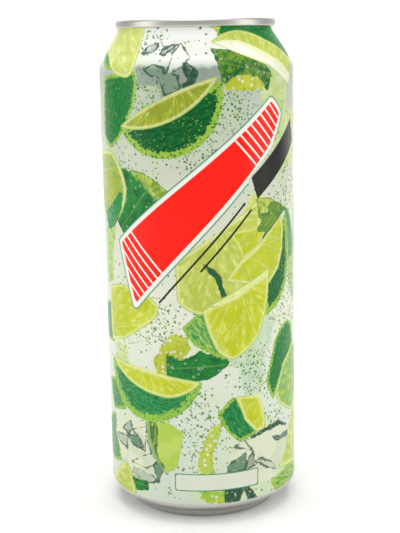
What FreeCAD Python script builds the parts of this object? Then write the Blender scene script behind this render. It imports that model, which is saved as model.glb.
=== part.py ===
"""Sealed half-litre drinks can: a drawn aluminium body, a seamed lid and a stay-on tab.

Units are millimetres. The can stands on its base ring at Z 0, its axis is Z, and its printed front
faces -Y. The tab's nose and the pouring panel point the same way as the front.
The closed can is solid throughout: the body fills everything under the lid.
"""

import FreeCAD
import Part

import math
import os
import re

import Sketcher

OUT_FOLDER = "parts"
SAME = 1e-4  # two lengths closer than this are the same length

SIZES = [
    ("can_height", 168.0, "base ring to the top of the seam"),
    ("body_diameter", 66.0, "outside of the straight wall"),
    ("seam_diameter", 54.0, "outside of the double seam"),
    ("seam_height", 2.5, "top of the seam to its lower edge"),
    ("seam_wall", 0.65, "the seam's folds outside the neck"),
    ("neck_straight", 1.0, "upright neck between the seam and the cone"),
    ("cone_height", 11.4, "sharp corner of the neck to sharp corner of the shoulder"),
    ("neck_blend", 3.5, "radius where the neck flares into the cone"),
    ("shoulder_blend", 5.0, "radius where the cone meets the wall"),
    ("chime_rise", 6.3, "height of the sharp corner between the wall and the base cone"),
    ("chime_blend", 4.5, "radius round the foot of the wall"),
    ("foot_rise", 2.6, "height of the hollow corner above the base ring"),
    ("foot_radius", 26.6, "radius of that hollow corner"),
    ("foot_blend", 2.0, "radius in that hollow corner"),
    ("ring_outer_radius", 25.4, "outer corner of the base ring"),
    ("ring_width", 2.8, "across the base ring, corner to corner"),
    ("ring_blend", 1.1, "rounding of both corners of the base ring"),
    ("dome_wall_height", 3.0, "upright wall inside the base ring"),
    ("dome_wall_lean", 0.4, "how far that wall leans in over its height"),
    ("dome_height", 10.2, "floor to the crown of the domed bottom"),
    ("dome_blend", 1.2, "radius between the ring's inner wall and the dome"),
    ("lid_sheet", 0.5, "thickness of the lid"),
    ("seam_fold", 0.6, "metal folded over the top edge of the body"),
    ("seam_top_width", 1.7, "across the flat top of the seam"),
    ("seam_outer_blend", 0.9, "rounding of the seam's outer top edge"),
    ("seam_edge_blend", 0.45, "rounding of the seam's other edges"),
    ("sink_depth", 6.5, "top of the seam to the bottom of the countersink"),
    ("sink_width", 1.1, "across the countersink groove"),
    ("chuck_lean", 1.8, "how far the wall inside the seam leans in"),
    ("sink_blend", 0.5, "rounding at the bottom of the countersink"),
    ("panel_depth", 4.3, "top of the seam to the lid's panel"),
    ("panel_lean", 0.15, "how far the panel's edge leans out on its way down"),
    ("panel_blend", 0.6, "rounding of the panel's edge"),
    ("well_depth", 0.3, "how far the stamped well lies below the panel"),
    ("well_mouth_room", 2.0, "from the pouring panel to the well's wide end"),
    ("well_tail_room", 2.7, "from the tab's tail to the well's narrow end"),
    ("mouth_gap", 0.4, "from the rivet's seat to the pouring panel"),
    ("mouth_straight", 6.0, "straight part across the pouring panel"),
    ("mouth_radius", 7.4, "radius of the pouring panel's two ends"),
    ("score_width", 0.3, "width of the score line round the pouring panel"),
    ("score_depth", 0.1, "depth of the score line"),
    ("bead_inset", 1.5, "score line to the raised bead inside it"),
    ("bead_width", 0.9, "width of that bead"),
    ("bead_height", 0.25, "height of that bead"),
    ("rivet_base_radius", 3.0, "raised seat round the rivet"),
    ("rivet_base_height", 0.1, "that seat above the panel"),
    ("rivet_shank_radius", 1.6, "shank of the rivet"),
    ("rivet_head_radius", 2.5, "staked head of the rivet"),
    ("rivet_head_height", 0.45, "thickness of the rivet's head"),
    ("rivet_head_blend", 0.27, "rounding of the head's upper edge"),
    ("rivet_clearance", 0.05, "gap between the shank and the tab"),
    ("tab_thickness", 1.4, "curled edge of the tab"),
    ("tab_web", 0.45, "flat web of the tab under the rivet's head"),
    ("tab_nose", 1.2, "from the rivet to the centre of the tab's nose"),
    ("tab_nose_radius", 7.9, "radius of the tab's nose"),
    ("tab_tail", 9.3, "from the rivet to the centre of the tab's tail"),
    ("tab_tail_radius", 6.6, "radius of the tab's tail"),
    ("tab_blend", 0.55, "rounding of the tab's edges"),
    ("tab_web_radius", 4.9, "radius of the sunk web round the rivet"),
    ("finger_near", 9.3, "from the rivet to the near centre of the finger hole"),
    ("finger_far", 10.4, "from the rivet to the far centre of the finger hole"),
    ("finger_near_radius", 3.4, "radius of the finger hole's near end"),
    ("finger_far_radius", 4.1, "radius of the finger hole's far end"),
]

doc = FreeCAD.newDocument("DrinkCan")


def make_sheet():
    """The driving dimensions, one to a row: name, plain number with the name as its alias, meaning."""
    sheet = doc.addObject("Spreadsheet::Sheet", "Sizes")
    for row, (name, value, meaning) in enumerate(SIZES, start=1):
        sheet.set(f"A{row}", name)
        sheet.set(f"B{row}", str(value))
        sheet.set(f"C{row}", meaning)
        sheet.setAlias(f"B{row}", name)
    doc.recompute()
    return sheet


sheet = make_sheet()
NAMES = {name for name, _, _ in SIZES}


def bound(formula):
    """The formula with each size's name pointing at its cell, as an object's expression needs it."""

    def cell(match):
        word = match.group()
        return f"Sizes.{word}" if word in NAMES else word

    return re.sub(r"[a-z_]+", cell, formula)


def number(formula):
    """The formula's present value."""
    return float(sheet.evalExpression(formula))


# Levels and radii that several pieces share, as formulas of the sheet's sizes.
WALL_RADIUS = "body_diameter / 2"
SEAM_RADIUS = "seam_diameter / 2"
NECK_RADIUS = "seam_diameter / 2 - seam_wall"
SEAM_FOOT = "can_height - seam_height"
NECK_CORNER = "can_height - seam_height - neck_straight"
SHOULDER_CORNER = "can_height - seam_height - neck_straight - cone_height"
RING_INNER_RADIUS = "ring_outer_radius - ring_width"
DOME_FOOT_RADIUS = "ring_outer_radius - ring_width - dome_wall_lean"
CHUCK_TOP_RADIUS = "seam_diameter / 2 - seam_top_width"
SINK_OUTER_RADIUS = "seam_diameter / 2 - seam_top_width - chuck_lean"
SINK_INNER_RADIUS = "seam_diameter / 2 - seam_top_width - chuck_lean - sink_width"
PANEL_RADIUS = "seam_diameter / 2 - seam_top_width - chuck_lean - sink_width - panel_lean"
SINK_LEVEL = "can_height - sink_depth"
PANEL_LEVEL = "can_height - panel_depth"
WELL_LEVEL = "can_height - panel_depth - well_depth"
TAB_LEVEL = "can_height - panel_depth + rivet_base_height"
WEB_LEVEL = "can_height - panel_depth + rivet_base_height + tab_web"
RIVET_TOP = "can_height - panel_depth + rivet_base_height + tab_web + rivet_head_height"
MOUTH_CENTRE = "-(rivet_base_radius + mouth_gap + mouth_radius)"

# The face where the lid lies on the body, from the neck inwards.
LID_UNDERSIDE = [
    (NECK_RADIUS, "can_height - seam_fold"),
    (f"{CHUCK_TOP_RADIUS} + lid_sheet", "can_height - seam_fold"),
    (f"{SINK_OUTER_RADIUS} + lid_sheet", f"{SINK_LEVEL} - lid_sheet"),
    (f"{PANEL_RADIUS} - lid_sheet", f"{SINK_LEVEL} - lid_sheet"),
    (f"{PANEL_RADIUS} - lid_sheet", f"{PANEL_LEVEL} - lid_sheet"),
    ("0", f"{PANEL_LEVEL} - lid_sheet"),
]


def make_body(label):
    body = doc.addObject("PartDesign::Body", label)
    body.Label = label
    return body


def origin_plane(body, role):
    return next(f for f in body.Origin.OriginFeatures if f.Role == role)


def new_sketch(body, name, role, offset=None):
    """A sketch on one of the body's own planes, raised by the formula offset along the plane's normal."""
    sketch = body.newObject("Sketcher::SketchObject", name)
    sketch.AttachmentSupport = [(origin_plane(body, role), "")]
    sketch.MapMode = "FlatFace"
    if offset:
        sketch.setExpression("AttachmentOffset.Base.z", bound(offset))
    return sketch


def constrain(sketch, formula, *what):
    """Adds a dimension of that formula to the sketch and binds it to the sheet."""
    index = sketch.addConstraint(Sketcher.Constraint(*what, number(formula)))
    sketch.setExpression(f"Constraints[{index}]", bound(formula))


def place_point(sketch, geometry, end, across, up):
    """Fixes one point of the geometry at the formulas across and up. Zero means on that axis."""
    for kind, axis, formula in (("DistanceX", -2, across), ("DistanceY", -1, up)):
        if formula == "0":
            sketch.addConstraint(Sketcher.Constraint("PointOnObject", geometry, end, axis))
        elif number(formula) < 0:
            constrain(sketch, f"-({formula})", kind, geometry, end, -1, 1)
        else:
            constrain(sketch, formula, kind, -1, 1, geometry, end)


def draw_outline(sketch, corners, arc_to_last=False):
    """A closed outline through the corners. With arc_to_last the step to the last corner, which is on the
    upright axis, is a dome: an arc whose centre is on that axis too."""
    points = [FreeCAD.Vector(number(x), number(y), 0) for x, y in corners]
    count = len(points)
    for i in range(count):
        start, end = points[i], points[(i + 1) % count]
        if arc_to_last and i == count - 2:
            half_width, rise = start.x, end.y - start.y
            radius = (half_width**2 + rise**2) / (2 * rise)
            centre = FreeCAD.Vector(0, end.y - radius, 0)
            first = math.atan2(start.y - centre.y, start.x)
            circle = Part.Circle(centre, FreeCAD.Vector(0, 0, 1), radius)
            sketch.addGeometry(Part.ArcOfCircle(circle, first, math.pi / 2))
            sketch.addConstraint(Sketcher.Constraint("PointOnObject", i, 3, -2))
        else:
            sketch.addGeometry(Part.LineSegment(start, end))
    for i in range(count):
        sketch.addConstraint(Sketcher.Constraint("Coincident", i, 2, (i + 1) % count, 1))
    for i, (across, up) in enumerate(corners):
        place_point(sketch, i, 1, across, up)


def draw_capsule(sketch, first, second):
    """Two round ends joined by the straight lines that touch both. Each end is (across, up, radius)."""
    (x1, y1, r1), (x2, y2, r2) = [tuple(number(f) for f in end) for end in (first, second)]
    heading = math.atan2(y2 - y1, x2 - x1)
    opening = math.acos((r1 - r2) / math.hypot(x2 - x1, y2 - y1))
    turn_left, turn_right = heading + opening, heading - opening

    def on_circle(x, y, radius, angle):
        return FreeCAD.Vector(x + radius * math.cos(angle), y + radius * math.sin(angle), 0)

    def arc(x, y, radius, start, end):
        circle = Part.Circle(FreeCAD.Vector(x, y, 0), FreeCAD.Vector(0, 0, 1), radius)
        return sketch.addGeometry(Part.ArcOfCircle(circle, start, end))

    back = arc(x1, y1, r1, turn_left, turn_right + 2 * math.pi)
    right = sketch.addGeometry(
        Part.LineSegment(on_circle(x1, y1, r1, turn_right), on_circle(x2, y2, r2, turn_right))
    )
    front = arc(x2, y2, r2, turn_right, turn_left)
    left = sketch.addGeometry(
        Part.LineSegment(on_circle(x2, y2, r2, turn_left), on_circle(x1, y1, r1, turn_left))
    )
    ring = [back, right, front, left]
    for here, there in zip(ring, ring[1:] + ring[:1]):
        sketch.addConstraint(Sketcher.Constraint("Tangent", here, 2, there, 1))
    for geometry, (across, up, radius) in ((back, first), (front, second)):
        place_point(sketch, geometry, 3, across, up)
        constrain(sketch, radius, "Radius", geometry)


def draw_circle(sketch, radius):
    """A circle round the sketch's origin."""
    circle = Part.Circle(FreeCAD.Vector(0, 0, 0), FreeCAD.Vector(0, 0, 1), number(radius))
    index = sketch.addGeometry(circle)
    sketch.addConstraint(Sketcher.Constraint("Coincident", index, 3, -1, 1))
    constrain(sketch, radius, "Radius", index)


def revolve(body, name, sketch):
    turned = body.newObject("PartDesign::Revolution", name)
    turned.Profile = sketch
    turned.ReferenceAxis = (sketch, ["V_Axis"])
    turned.Angle = 360
    doc.recompute()
    return turned


def pad(body, name, sketch, length):
    raised = body.newObject("PartDesign::Pad", name)
    raised.Profile = sketch
    raised.setExpression("Length", bound(length))
    doc.recompute()
    return raised


def pocket(body, name, sketch, depth=None, upwards=False):
    """Cuts the sketch into the body, to the depth or, with none, right through."""
    before = body.Tip.Shape.Volume
    cut = body.newObject("PartDesign::Pocket", name)
    cut.Profile = sketch
    cut.Reversed = upwards
    if depth:
        cut.setExpression("Length", bound(depth))
    else:
        cut.Type = "ThroughAll"
    doc.recompute()
    if not cut.Shape.Volume < before:
        raise RuntimeError(f"{name} cuts nothing")
    return cut


def round_edges(body, name, blend, chosen):
    """Rounds the latest feature's edges for which chosen(edge) is true."""
    base = body.Tip
    edges = [f"Edge{i}" for i, edge in enumerate(base.Shape.Edges, start=1) if chosen(edge)]
    if not edges:
        raise RuntimeError(f"{name} finds no edge")
    fillet = body.newObject("PartDesign::Fillet", name)
    fillet.Base = (base, edges)
    fillet.setExpression("Radius", bound(blend))
    doc.recompute()
    return fillet


def round_rims(body, name, blend, rims):
    """Rounds the circular edges that run round Z at the given (radius, level) pairs."""

    def on_a_rim(edge):
        if edge.Degenerated or not isinstance(edge.Curve, Part.Circle):
            return False
        circle = edge.Curve
        centred = math.hypot(circle.Center.x, circle.Center.y) < SAME
        return centred and any(
            abs(circle.Radius - number(radius)) < SAME and abs(circle.Center.z - number(level)) < SAME
            for radius, level in rims
        )

    return round_edges(body, name, blend, on_a_rim)


def make_can_body():
    """Printed body: necked at the top, with a base ring and a domed bottom, solid up to the lid."""
    body = make_body("can_body")
    section = new_sketch(body, "BodySection", "XZ_Plane")
    corners = [
        *LID_UNDERSIDE[::-1],
        (NECK_RADIUS, NECK_CORNER),
        (WALL_RADIUS, SHOULDER_CORNER),
        (WALL_RADIUS, "chime_rise"),
        ("foot_radius", "foot_rise"),
        ("ring_outer_radius", "0"),
        (RING_INNER_RADIUS, "0"),
        (DOME_FOOT_RADIUS, "dome_wall_height"),
        ("0", "dome_height"),
    ]
    draw_outline(section, corners, arc_to_last=True)
    revolve(body, "BodyTurned", section)
    round_rims(body, "NeckBlend", "neck_blend", [(NECK_RADIUS, NECK_CORNER)])
    round_rims(body, "ShoulderBlend", "shoulder_blend", [(WALL_RADIUS, SHOULDER_CORNER)])
    round_rims(body, "ChimeBlend", "chime_blend", [(WALL_RADIUS, "chime_rise")])
    round_rims(body, "FootBlend", "foot_blend", [("foot_radius", "foot_rise")])
    round_rims(body, "DomeBlend", "dome_blend", [(DOME_FOOT_RADIUS, "dome_wall_height")])
    ring_corners = [("ring_outer_radius", "0"), (RING_INNER_RADIUS, "0")]
    round_rims(body, "RingBlend", "ring_blend", ring_corners)
    return body


def mouth_ends(inset):
    """The pouring panel's outline, drawn that far inside the score line's outer edge."""
    return [
        (f"{sign}mouth_straight / 2", MOUTH_CENTRE, f"mouth_radius - ({inset})") for sign in ("-", "")
    ]


def make_lid():
    """Lid: seam, countersink and panel turned in one, with the stamped well, score, bead and rivet."""
    body = make_body("lid")
    section = new_sketch(body, "LidSection", "XZ_Plane")
    corners = [
        ("0", RIVET_TOP),
        ("rivet_head_radius", RIVET_TOP),
        ("rivet_head_radius", WEB_LEVEL),
        ("rivet_shank_radius", WEB_LEVEL),
        ("rivet_shank_radius", TAB_LEVEL),
        ("rivet_base_radius", TAB_LEVEL),
        ("rivet_base_radius", PANEL_LEVEL),
        (PANEL_RADIUS, PANEL_LEVEL),
        (SINK_INNER_RADIUS, SINK_LEVEL),
        (SINK_OUTER_RADIUS, SINK_LEVEL),
        (CHUCK_TOP_RADIUS, "can_height"),
        (SEAM_RADIUS, "can_height"),
        (SEAM_RADIUS, SEAM_FOOT),
        (NECK_RADIUS, SEAM_FOOT),
        *LID_UNDERSIDE,
    ]
    draw_outline(section, corners)
    revolve(body, "LidTurned", section)
    round_rims(body, "SeamOuterBlend", "seam_outer_blend", [(SEAM_RADIUS, "can_height")])
    seam_edges = [(CHUCK_TOP_RADIUS, "can_height"), (SEAM_RADIUS, SEAM_FOOT)]
    round_rims(body, "SeamEdgeBlend", "seam_edge_blend", seam_edges)
    round_rims(body, "PanelBlend", "panel_blend", [(PANEL_RADIUS, PANEL_LEVEL)])
    sink_edges = [(SINK_INNER_RADIUS, SINK_LEVEL), (SINK_OUTER_RADIUS, SINK_LEVEL)]
    round_rims(body, "SinkBlend", "sink_blend", sink_edges)
    round_rims(body, "RivetBlend", "rivet_head_blend", [("rivet_head_radius", RIVET_TOP)])

    well = new_sketch(body, "WellOutline", "XY_Plane", PANEL_LEVEL)
    wide_radius = "mouth_straight / 2 + mouth_radius + well_mouth_room"
    wide_end = ("0", f"{MOUTH_CENTRE} + mouth_straight / 2", wide_radius)
    narrow_end = ("0", "tab_tail", "tab_tail_radius + well_tail_room")
    draw_capsule(well, wide_end, narrow_end)
    draw_circle(well, "rivet_base_radius")
    pocket(body, "Well", well, "well_depth")

    score = new_sketch(body, "ScoreOutline", "XY_Plane", WELL_LEVEL)
    draw_capsule(score, *mouth_ends("0"))
    draw_capsule(score, *mouth_ends("score_width"))
    pocket(body, "Score", score, "score_depth")

    bead = new_sketch(body, "BeadOutline", "XY_Plane", WELL_LEVEL)
    draw_capsule(bead, *mouth_ends("bead_inset"))
    draw_capsule(bead, *mouth_ends("bead_inset + bead_width"))
    pad(body, "Bead", bead, "bead_height")
    return body


def make_tab():
    """Stay-on tab: a flat blank with rounded curled edges, a sunk web round the rivet and a finger hole."""
    body = make_body("tab")
    blank = new_sketch(body, "TabOutline", "XY_Plane")
    draw_capsule(blank, ("0", "-tab_nose", "tab_nose_radius"), ("0", "tab_tail", "tab_tail_radius"))
    pad(body, "TabBlank", blank, "tab_thickness")

    finger = new_sketch(body, "FingerOutline", "XY_Plane")
    draw_capsule(
        finger, ("0", "finger_near", "finger_near_radius"), ("0", "finger_far", "finger_far_radius")
    )
    pocket(body, "FingerHole", finger, upwards=True)

    round_edges(body, "TabBlend", "tab_blend", lambda edge: edge.BoundBox.ZLength < SAME)

    web = new_sketch(body, "WebOutline", "XY_Plane", "tab_thickness")
    draw_circle(web, "tab_web_radius")
    pocket(body, "Web", web, "tab_thickness - tab_web")

    hole = new_sketch(body, "RivetHoleOutline", "XY_Plane")
    draw_circle(hole, "rivet_shank_radius + rivet_clearance")
    pocket(body, "RivetHole", hole, upwards=True)

    body.setExpression("Placement.Base.z", bound(TAB_LEVEL))
    return body


def check(pieces):
    """Stops the script if any object failed to rebuild or a piece is not one sound solid."""
    doc.recompute()
    for item in doc.Objects:
        if {"Invalid", "Error"} & set(item.State):
            raise RuntimeError(f"{item.Name} did not rebuild: {item.State}")
    for piece in pieces:
        shape = piece.Shape
        if shape.isNull() or not shape.isValid() or len(shape.Solids) != 1:
            raise RuntimeError(f"{piece.Label} is not one sound solid")
        box = shape.BoundBox
        print(f"{piece.Label}: {shape.Volume:.1f} mm3, Z {box.ZMin:.2f} to {box.ZMax:.2f}")


def export(pieces):
    os.makedirs(OUT_FOLDER, exist_ok=True)
    for piece in pieces:
        piece.Shape.exportStep(os.path.join(OUT_FOLDER, f"{piece.Label}.step"))


pieces = [make_can_body(), make_lid(), make_tab()]
check(pieces)
export(pieces)
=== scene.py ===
"""Looks of a sealed half-litre drinks can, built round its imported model.

Lengths are millimetres and become metres where a mesh, lamp or camera is made. The can stands on Z 0,
its axis is Z and its printed front faces -Y. The print is laid out flat as (across, up): across is the
arc along the wall from the middle of the front, up is the height above the floor.
"""

import math

import bpy
import numpy as np
from mathutils import Matrix, Vector


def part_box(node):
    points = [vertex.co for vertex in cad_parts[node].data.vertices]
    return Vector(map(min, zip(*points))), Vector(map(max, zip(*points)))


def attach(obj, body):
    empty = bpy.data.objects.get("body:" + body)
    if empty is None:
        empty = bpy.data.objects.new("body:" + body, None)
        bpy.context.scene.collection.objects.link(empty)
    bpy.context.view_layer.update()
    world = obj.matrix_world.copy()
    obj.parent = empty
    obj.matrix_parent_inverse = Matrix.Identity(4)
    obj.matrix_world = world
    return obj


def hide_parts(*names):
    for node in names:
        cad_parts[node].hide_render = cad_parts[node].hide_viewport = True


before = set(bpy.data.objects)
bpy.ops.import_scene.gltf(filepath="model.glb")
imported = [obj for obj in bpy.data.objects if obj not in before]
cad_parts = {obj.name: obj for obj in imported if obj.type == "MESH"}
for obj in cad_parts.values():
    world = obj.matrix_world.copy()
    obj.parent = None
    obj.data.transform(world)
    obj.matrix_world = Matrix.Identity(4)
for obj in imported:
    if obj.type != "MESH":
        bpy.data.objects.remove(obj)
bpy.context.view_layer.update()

MM = 0.001
BODY = "root"

# ---------------------------------------------------------------- sizes

CAN_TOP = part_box("lid")[1].z / MM


def least_reach(node):
    """Radius, in millimetres, that stays inside the node's box on all four sides."""
    low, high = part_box(node)
    return min(-low.x, -low.y, high.x, high.y) / MM


WALL_RADIUS = least_reach("can_body")
SEAM_RADIUS = least_reach("lid")
NECK_RADIUS = SEAM_RADIUS - 0.65
SEAM_FOOT = CAN_TOP - 2.5
NECK_CORNER = SEAM_FOOT - 1.0
SHOULDER_CORNER = NECK_CORNER - 11.4
BODY_TOP = CAN_TOP - 0.6
DOME_HEIGHT = 10.2
DOME_FOOT = (22.2, 3.0)
BASE_RING = (22.6, 25.4)  # the ring that the can stands on, inner and outer radius
FOOT_CORNER = (26.6, 2.6)
WALL_START = 6.3
LID_SHEET = 0.5
SEAT_RADIUS = 25.8
SINK_RADII = (21.75, 24.0)  # under the countersink, inner and outer
SINK_LEVEL = CAN_TOP - 6.5
PANEL_LEVEL = CAN_TOP - 4.3
PANEL_RADIUS = 22.25
WELL_DEPTH = 0.3
TAB_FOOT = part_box("tab")[0].z / MM
TAB_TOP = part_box("tab")[1].z / MM
WEB_TOP = TAB_FOOT + 0.45
RIVET_TOP = WEB_TOP + 0.45

PRINT_FOOT = 7.7  # the print starts here, above bare metal
PRINT_REPEAT = math.pi * WALL_RADIUS  # the design goes twice round the can

# ---------------------------------------------------------------- colours


def paint(red, green, blue):
    """Linear colour from the 0 to 255 values a printer's chart gives."""
    chart = np.array([red, green, blue]) / 255
    linear = np.where(chart <= 0.04045, chart / 12.92, ((chart + 0.055) / 1.055) ** 2.4)
    return (*linear, 1.0)


GROUND = paint(226, 228, 222)
GROUND_LOW = paint(202, 216, 190)
FLESH = paint(196, 204, 30)
FLESH_SOFT = paint(192, 202, 88)
FLESH_PALE = paint(212, 218, 124)
FLESH_WARM = paint(212, 217, 92)
FLESH_LIGHT = paint(226, 230, 158)
FLESH_OLIVE = paint(176, 184, 52)
FLESH_DARK = paint(150, 160, 52)
FLESH_GREEN = paint(172, 202, 80)
FLESH_COOL = paint(132, 178, 96)
PITH = paint(226, 230, 160)
CREAM = paint(228, 230, 188)
SKIN = paint(128, 176, 66)
PEEL = paint(12, 108, 48)
PEEL_DEEP = paint(0, 78, 30)
PEEL_LIGHT = paint(40, 146, 82)
PEEL_GREY = paint(92, 146, 104)
RIM = paint(150, 190, 70)
LEAF = paint(26, 132, 50)
LEAF_DARK = paint(18, 96, 42)
LEAF_OLIVE = paint(112, 150, 44)
LEAF_MOSS = paint(76, 128, 46)
LEAF_PALE = paint(176, 200, 90)
BLOTCH = paint(190, 200, 62)
ICE = paint(216, 221, 192)
ICE_GREY = paint(140, 156, 144)
WATER = paint(134, 146, 132)
ICE_SHADE = paint(178, 190, 168)
ICE_LINE = paint(104, 138, 112)
INK = paint(46, 84, 60)
WASH_GREEN = paint(184, 204, 104)
WASH_PALE = paint(204, 219, 164)
WASH_MINT = paint(176, 204, 166)
WHITE = paint(236, 238, 226)
RIBBON_RED = paint(252, 24, 4)
KEYLINE = paint(64, 142, 100)
TAG_BLACK = paint(30, 29, 26)
BOX_GREY = paint(216, 220, 204)
SPECK_DARK = paint(44, 108, 34)
SPECK_LIME = paint(140, 176, 60)
ALUMINIUM = paint(214, 212, 206)

# ---------------------------------------------------------------- meshes


def mesh_piece(name, rows, poles=(None, None), ring=False, lay_out=None):
    """A piece from a grid of points, rows x columns x 3 in millimetres.

    Each row closes on itself. A pole is a point that closes the first or the last row with a fan;
    ring joins the last row to the first instead. lay_out gives each row's place up the flat layout,
    0 to 1, and each column's place across it is its share of the way round.
    """
    count, around = rows.shape[:2]
    points = rows.reshape(-1, 3)
    row, column = np.meshgrid(np.arange(count if ring else count - 1), np.arange(around), indexing="ij")
    row, column = row.ravel(), column.ravel()
    above, beside = (row + 1) % count, (column + 1) % around
    quads = np.stack(
        [row * around + column, row * around + beside, above * around + beside, above * around + column], 1
    )
    if lay_out is None:
        lay_out = np.linspace(0, 1, count + (1 if ring else 0))
    left, right = column / around, (column + 1) / around
    low, high = lay_out[row], lay_out[row + 1 if ring else above]
    flat = np.stack([left, low, right, low, right, high, left, high], 1).reshape(-1, 2)
    corners, sizes, flats = [quads.ravel()], [np.full(len(quads), 4)], [flat]
    turn = np.arange(around)
    for pole, edge, end in ((poles[0], 0, 0), (poles[1], count - 1, -1)):
        if pole is None:
            continue
        tip = np.full(around, len(points))
        points = np.vstack([points, [pole]])
        here, there = edge * around + turn, edge * around + (turn + 1) % around
        fan = (tip, there, here) if end == 0 else (here, there, tip)
        corners.append(np.stack(fan, 1).ravel())
        sizes.append(np.full(around, 3))
        level = lay_out[end]
        across = np.stack([(turn + 0.5) / around, (turn + 1) / around, turn / around], 1)
        if end == -1:
            across = across[:, [2, 1, 0]]
        flats.append(np.stack([across.ravel(), np.full(around * 3, level)], 1))
    corners, sizes, flats = np.concatenate(corners), np.concatenate(sizes), np.vstack(flats)

    mesh = bpy.data.meshes.new(name)
    mesh.vertices.add(len(points))
    mesh.vertices.foreach_set("co", (points * MM).astype(np.float32).ravel())
    mesh.loops.add(len(corners))
    mesh.loops.foreach_set("vertex_index", corners.astype(np.int32))
    mesh.polygons.add(len(sizes))
    mesh.polygons.foreach_set("loop_start", (np.cumsum(sizes) - sizes).astype(np.int32))
    mesh.polygons.foreach_set("loop_total", sizes.astype(np.int32))
    mesh.polygons.foreach_set("use_smooth", np.ones(len(sizes), bool))
    mesh.update(calc_edges=True)
    layer = mesh.uv_layers.new(name="OFBake")
    layer.data.foreach_set("uv", flats.astype(np.float32).ravel())
    piece = bpy.data.objects.new(name, mesh)
    bpy.context.scene.collection.objects.link(piece)
    return piece


def finish_piece(piece, material, node):
    """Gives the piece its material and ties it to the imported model."""
    piece.data.materials.append(material)
    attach(piece, BODY)
    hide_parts(node)
    return piece


def rounded_line(corners, step):
    """Points down a line of straight runs joined by tangent arcs.

    Each corner is (radius, height, blend). A blend starts at blend / tan(half the corner's angle)
    along each run, and its arc turns from one run to the other round the centre they share. Points lie
    a step apart, and at least every ten degrees on an arc.
    """
    places = np.array([corner[:2] for corner in corners], float)
    stops = [places[0]]
    for i in range(1, len(corners) - 1):
        here, blend = places[i], corners[i][2]
        back, ahead = places[i - 1] - here, places[i + 1] - here
        back, ahead = back / np.hypot(*back), ahead / np.hypot(*ahead)
        half = math.acos(np.clip(back @ ahead, -1, 1)) / 2
        if blend == 0 or half > math.pi / 2 - 0.01:
            stops.append(here)
            continue
        inward = (back + ahead) / np.hypot(*(back + ahead))
        centre = here + inward * blend / math.sin(half)
        first, last = here + back * blend / math.tan(half), here + ahead * blend / math.tan(half)
        start = math.atan2(*(first - centre)[::-1])
        turn = (math.atan2(*(last - centre)[::-1]) - start + math.pi) % (2 * math.pi) - math.pi
        pieces = max(math.ceil(abs(turn) * blend / step), math.ceil(abs(turn) / math.radians(10)), 2)
        angle = start + turn * np.linspace(0, 1, pieces + 1)
        stops.extend(centre + blend * np.stack([np.cos(angle), np.sin(angle)], 1))
    stops.append(places[-1])
    line = [stops[0]]
    for start, end in zip(stops, stops[1:]):
        pieces = max(math.ceil(np.hypot(*(end - start)) / step - 0.01), 1)
        line.extend(start + (end - start) * t for t in np.linspace(0, 1, pieces + 1)[1:])
    return np.array(line)


def turned(line, around):
    """Rows of a turned surface: each point (radius, height) of the line goes round the axis."""
    angle = np.arange(around) * 2 * math.pi / around - math.pi / 2
    radius, height = line[:, :1], line[:, 1:]
    return np.stack(
        [radius * np.cos(angle), radius * np.sin(angle), height + 0 * angle], -1
    )


def along(line):
    """How far along the line each point is, 0 to 1."""
    steps = np.hypot(*np.diff(line, axis=0).T)
    run = np.concatenate([[0], np.cumsum(steps)])
    return run / run[-1]


def soft_step(value, low, high):
    """0 below low, 1 above high, and 3t^2 - 2t^3 between."""
    t = np.clip((value - low) / (high - low), 0, 1)
    return t * t * (3 - 2 * t)


# ---------------------------------------------------------------- the print's layout


def outline(corners):
    """Closed outline, anticlockwise, as points, through corners (across, up) or (across, up, bow).

    The side after a corner is a circular arc whose height is bow times half its chord, bulging out of
    the shape when bow is above 0 and into it when bow is below 0. Without a bow it is straight.
    """
    sides = []
    for i, (across, up, *bow) in enumerate(corners):
        bow = bow[0] if bow else 0.0
        start, end = np.array([across, up]), np.array(corners[(i + 1) % len(corners)][:2])
        half_chord = np.hypot(*(end - start)) / 2
        forward = (end - start) / (2 * half_chord)
        outward = np.array([forward[1], -forward[0]])
        half = 2 * math.atan(abs(bow) + 1e-6)
        turn = half * np.linspace(-1, 1, 13)[:-1]
        along_side = np.sin(turn) / math.sin(half) * half_chord
        out = (np.cos(turn) - math.cos(half)) / math.sin(half) * half_chord * math.copysign(1, bow)
        sides.append((start + end) / 2 + along_side[:, None] * forward + out[:, None] * outward)
    return np.vstack(sides)


def depth_inside(across, up, ring):
    """How far each point lies inside the closed ring of points, below 0 outside: the least distance to
    any side, with the sign from how many sides a ray towards +across meets."""
    ax, ay = ring.T
    bx, by = np.roll(ring, -1, axis=0).T
    px, py = across[:, None], up[:, None]
    dx, dy = bx - ax, by - ay
    t = np.clip(((px - ax) * dx + (py - ay) * dy) / (dx * dx + dy * dy), 0, 1)
    least = np.sqrt(((px - ax - t * dx) ** 2 + (py - ay - t * dy) ** 2).min(1))
    crosses = (ay > py) != (by > py)
    meets = px < ax + (py - ay) / np.where(dy == 0, 1, dy) * dx
    inside = (crosses & meets).sum(1) % 2 == 1
    return np.where(inside, least, -least)


FAR_OUTSIDE = -9.0


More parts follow.
